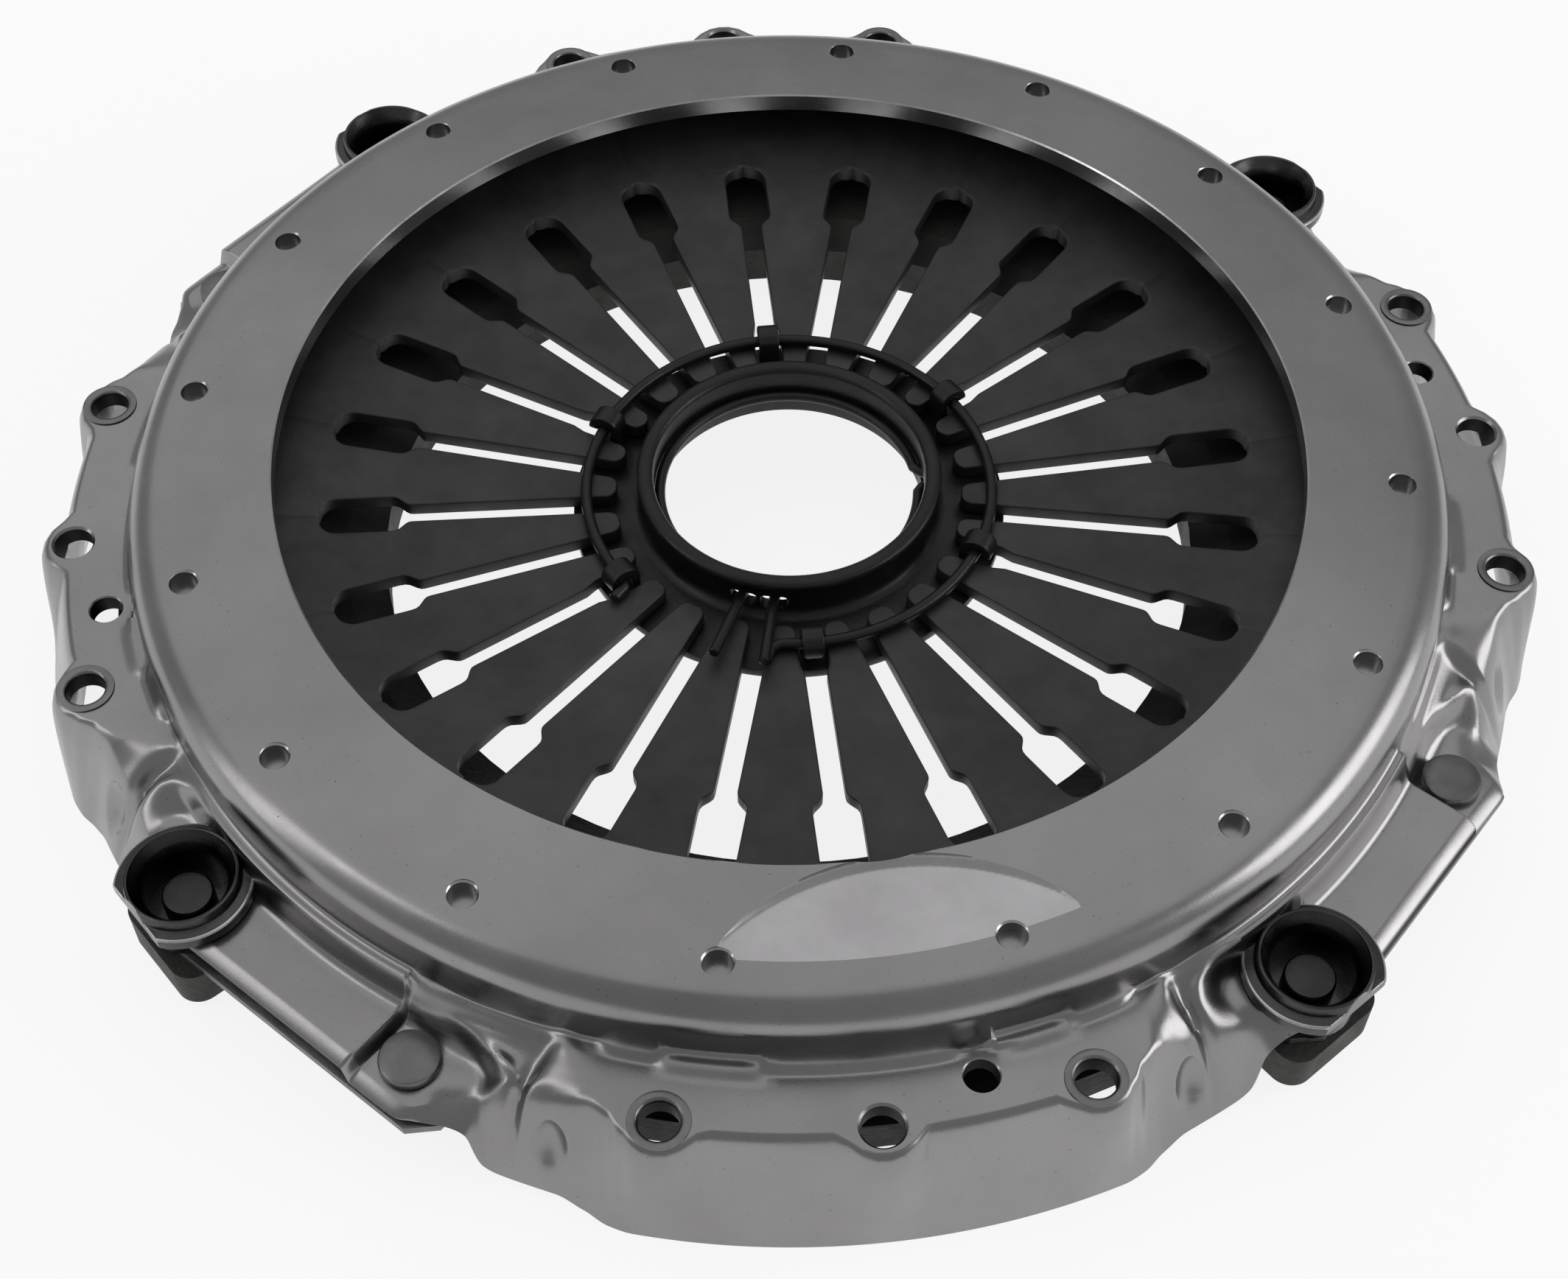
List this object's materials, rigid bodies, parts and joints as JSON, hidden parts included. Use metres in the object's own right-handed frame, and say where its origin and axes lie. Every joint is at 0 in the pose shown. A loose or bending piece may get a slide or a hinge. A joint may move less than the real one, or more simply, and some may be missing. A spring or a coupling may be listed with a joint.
{
  "type": "clutch pressure plate",
  "caption": "Pull-type diaphragm clutch cover assembly: pressed cover with bolt pads, slotted spring, cast pressure plate on leaf straps, and a thrust ring held by a wire.",
  "frame": {"origin": "centre of the cover's lower edge, the plane that bolts to the flywheel", "axes": "+Z along the clutch axis, away from the flywheel, towards the gearbox; +X through the middle of one bolt pad"},
  "size_m": [0.4788, 0.4788, 0.0675],
  "materials": {
    "cover_steel": "satin",
    "liner_steel": "satin",
    "spring_steel": "satin, dark",
    "strap_steel": "satin",
    "dark_steel": "machined, oiled",
    "black_steel": "black oxide, oiled",
    "iron": "rough cast"
  },
  "bodies": {
    "cover_body": {"cover": "cover_steel", "bolt_liners": "liner_steel", "pivot_wire": "spring_steel", "diaphragm_spring": "spring_steel", "cover_rivet_1": "dark_steel", "cover_rivet_2": "dark_steel", "cover_rivet_3": "dark_steel", "cover_rivet_4": "dark_steel", "strap_1_top": "strap_steel", "strap_1_middle": "strap_steel", "strap_1_bottom": "strap_steel", "strap_2_top": "strap_steel", "strap_2_middle": "strap_steel", "strap_2_bottom": "strap_steel", "strap_3_top": "strap_steel", "strap_3_middle": "strap_steel", "strap_3_bottom": "strap_steel", "strap_4_top": "strap_steel", "strap_4_middle": "strap_steel", "strap_4_bottom": "strap_steel"},
    "plate_body": {"pressure_plate": "iron", "stop_sleeve_1": "dark_steel", "stop_sleeve_2": "dark_steel", "stop_sleeve_3": "dark_steel", "stop_sleeve_4": "dark_steel", "lug_bolt_1": "dark_steel", "lug_bolt_2": "dark_steel", "lug_bolt_3": "dark_steel", "lug_bolt_4": "dark_steel"},
    "release_body": {"thrust_ring": "black_steel", "retaining_wire": "black_steel", "snap_wire": "black_steel"}
  },
  "joints": [
    {"name": "plate_lift", "type": "slide", "parent": "cover_body", "child": "plate_body", "axis": [0, 0, 1], "range_m": [0, 0.00164], "deforming": ["diaphragm_spring", "strap_1_top", "strap_1_middle", "strap_1_bottom", "strap_2_top", "strap_2_middle", "strap_2_bottom", "strap_3_top", "strap_3_middle", "strap_3_bottom", "strap_4_top", "strap_4_middle", "strap_4_bottom"]},
    {"name": "release_pull", "type": "slide", "parent": "cover_body", "child": "release_body", "axis": [0, 0, 1], "range_m": [0, 0.01203], "deforming": ["diaphragm_spring"]}
  ],
  "couplings": [
    {"joint": "release_pull", "follows": "plate_lift", "ratio": 7.3371}
  ]
}
